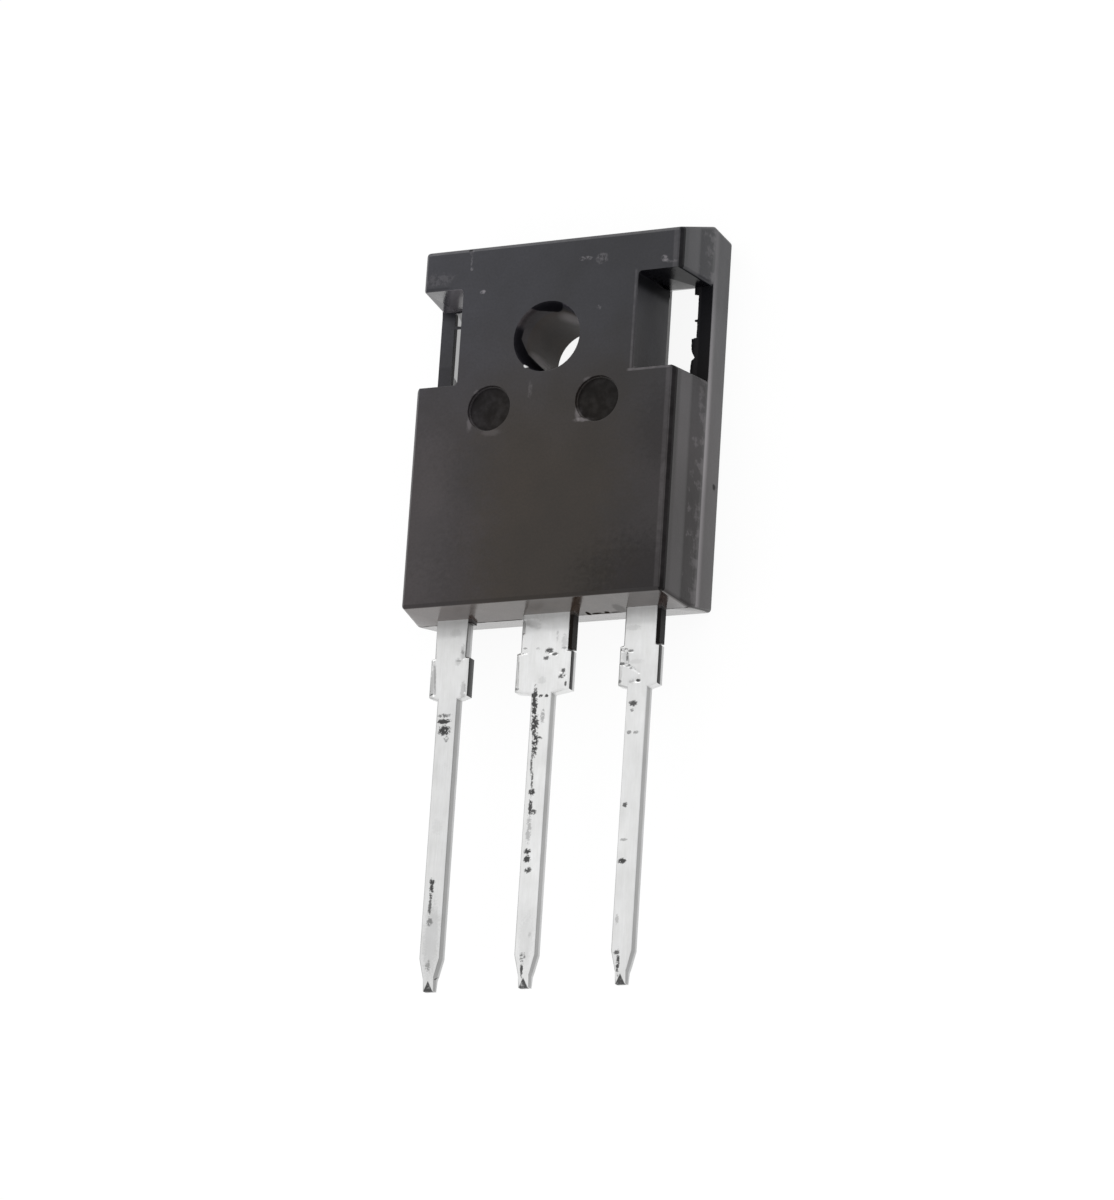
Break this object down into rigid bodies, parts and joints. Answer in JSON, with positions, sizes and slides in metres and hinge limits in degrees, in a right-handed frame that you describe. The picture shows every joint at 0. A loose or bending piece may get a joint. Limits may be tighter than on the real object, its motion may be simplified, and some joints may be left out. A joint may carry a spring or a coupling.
{
  "type": "power transistor",
  "caption": "Plastic-cased power transistor with a screw hole, a bare metal back face and flat tinned leads in one row.",
  "frame": {"origin": "centre of the mounting hole on the flat back plane", "axes": "+Z along the mounting hole, out of the front face; +Y from the leads to the top of the case; +X across the leads, towards the emitter lead"},
  "size_m": [0.0158, 0.0403, 0.005],
  "materials": {
    "mould_compound": "dark grey epoxy mould compound, fine grain",
    "tinned_copper": "matt tin plate on copper",
    "tinned_lead": "satin tin plate with scratches and dark marks",
    "silicon": "polished",
    "solder": "dull",
    "bond_wire": "bright drawn wire"
  },
  "bodies": {
    "root": {"mould_body": "mould_compound", "collector_plate": "tinned_copper", "gate_lead": "tinned_lead", "emitter_lead": "tinned_lead", "switch_chip": "silicon", "diode_chip": "silicon", "switch_solder": "solder", "diode_solder": "solder", "gate_wire": "bond_wire", "emitter_wire_1": "bond_wire", "emitter_wire_2": "bond_wire", "emitter_wire_3": "bond_wire"}
  },
  "joints": []
}
